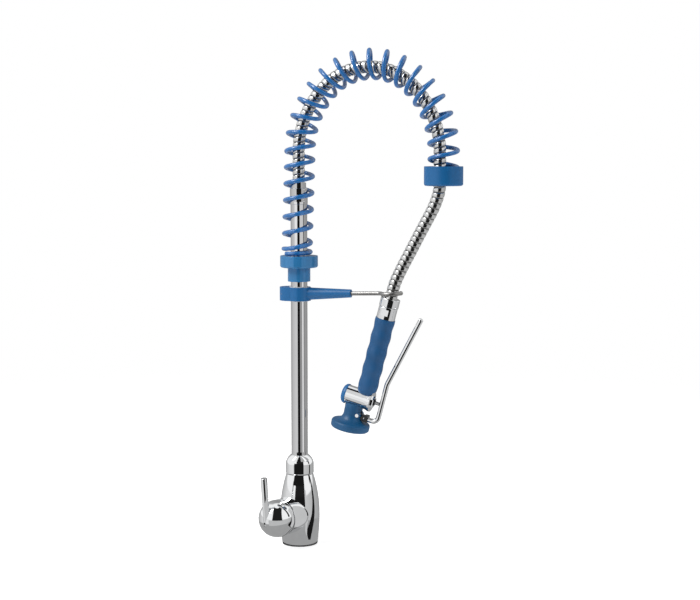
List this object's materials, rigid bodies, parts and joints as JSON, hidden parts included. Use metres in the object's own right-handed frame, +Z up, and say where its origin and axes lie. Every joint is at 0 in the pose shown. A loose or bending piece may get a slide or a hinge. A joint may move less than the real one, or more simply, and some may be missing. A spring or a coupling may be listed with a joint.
{
  "type": "pre rinse faucet",
  "caption": "Deck-mounted pre-rinse faucet: single-lever mixer, upright riser, coil spring arch over an armoured hose, holder arm with open hook, and a trigger spray handset.",
  "frame": {"origin": "centre of the base underside, on the deck", "axes": "+Z up along the riser, the spring arch reaches towards +X, the mixer cap faces mostly -Y"},
  "size_m": [0.2863, 0.1071, 0.717],
  "materials": {
    "chrome_body": "polished chrome on cast brass",
    "chrome_pipe": "polished chrome on drawn tube",
    "chrome_trim": "polished chrome on turned brass",
    "steel": "bright stainless steel",
    "hook_steel": "satin stainless rod",
    "hose_armour": "wound stainless strip",
    "brass": "machined",
    "ceramic": "lapped ceramic",
    "black_rubber": "moulded",
    "blue_rubber": "moulded, satin",
    "white_plastic": "moulded",
    "black_plastic": "moulded",
    "blue_plastic": "moulded, soft gloss",
    "blue_grip": "moulded, satin",
    "blue_spring": "plastic-coated spring wire"
  },
  "bodies": {
    "mixer": {"mixer_body": "chrome_body", "base_gasket": "black_rubber", "riser_nut": "chrome_body", "riser_bush": "white_plastic", "cartridge_housing": "white_plastic", "cartridge_nut": "brass", "cartridge_seals": "black_rubber", "fixed_disc": "ceramic"},
    "cap_carrier": {"spindle_carrier": "white_plastic"},
    "cap": {"spindle": "brass", "ball_cap": "chrome_trim", "mixer_lever": "chrome_trim", "lever_screw": "steel", "indicator_plug": "black_rubber"},
    "slide_disc": {"moving_disc": "ceramic"},
    "riser": {"riser_pipe": "chrome_pipe", "riser_seals": "black_rubber", "riser_fitting": "chrome_pipe", "riser_ferrule": "chrome_pipe", "lower_collar": "blue_plastic", "collar_screw": "steel", "arch_spring": "blue_spring", "hose_arch": "hose_armour"},
    "arm": {"arm_liner": "white_plastic", "holder_arm": "blue_plastic", "clamp_screw": "steel", "hook_rod": "hook_steel"},
    "hose_end": {"upper_collar": "blue_plastic", "collar_gland": "white_plastic", "hose_drop": "hose_armour", "hose_nut": "chrome_trim", "hose_tail": "brass", "nut_washer": "black_rubber"},
    "handset": {"inlet_adaptor": "chrome_trim", "check_valve": "white_plastic", "handle_tube": "brass", "grip": "blue_grip", "valve_body": "chrome_trim", "end_cap": "blue_plastic", "end_cap_seal": "black_rubber", "valve_spring": "steel", "gland_nut": "chrome_trim", "stem_seal": "black_rubber", "spray_neck": "blue_plastic", "rose_bumper": "blue_rubber", "rose_plate": "steel", "rose_seal": "black_rubber", "rose_screw": "steel", "lever_pin": "steel"},
    "trigger": {"squeeze_lever": "chrome_trim", "pivot_block": "black_plastic"},
    "stem": {"valve_stem": "steel", "valve_plug": "brass", "valve_washer": "black_rubber"}
  },
  "joints": [
    {"name": "temperature", "type": "hinge", "parent": "mixer", "child": "cap_carrier", "pos_m": [-0.0171, -0.04698, 0.046], "axis": [-0.342, -0.9397, 0], "range_deg": [-45, 45]},
    {"name": "flow", "type": "hinge", "parent": "cap_carrier", "child": "cap", "pos_m": [-0.0171, -0.04698, 0.046], "axis": [0.9397, -0.342, 0], "range_deg": [0, 15]},
    {"name": "disc_slide", "type": "slide", "parent": "cap_carrier", "child": "slide_disc", "axis": [0, 0, 1], "range_m": [0, 0.0033]},
    {"name": "riser_swivel", "type": "hinge", "parent": "mixer", "child": "riser", "pos_m": [0, 0, 0.09], "axis": [0, 0, 1], "continuous": true},
    {"name": "arm_turn", "type": "hinge", "parent": "riser", "child": "arm", "pos_m": [0, 0, 0.367], "axis": [0, 0, 1], "range_deg": [-330, 0]},
    {"name": "spray_pull", "type": "slide", "parent": "riser", "child": "hose_end", "axis": [-0.3907, 0, -0.9205], "range_m": [0, 0.03], "stiffness_N_per_m": 300, "springref_m": -0.08, "deforming": ["arch_spring", "hose_arch"]},
    {"name": "handle_spin", "type": "hinge", "parent": "hose_end", "child": "handset", "pos_m": [0.13893, 0, 0.36585], "axis": [0.2554, 0, 0.9668], "continuous": true},
    {"name": "squeeze", "type": "hinge", "parent": "handset", "child": "trigger", "pos_m": [0.0915, 0, 0.19614], "axis": [0, -1, 0], "range_deg": [0, 7.5], "stiffness_Nm_per_rad": 1.5, "springref_deg": -11.46},
    {"name": "stem_slide", "type": "slide", "parent": "handset", "child": "stem", "axis": [-0.9668, 0, 0.2554], "range_m": [0, 0.0033], "deforming": ["valve_spring"]}
  ],
  "couplings": [
    {"joint": "disc_slide", "follows": "flow", "m_per_rad": 0.012},
    {"joint": "stem_slide", "follows": "squeeze", "m_per_rad": 0.024}
  ]
}
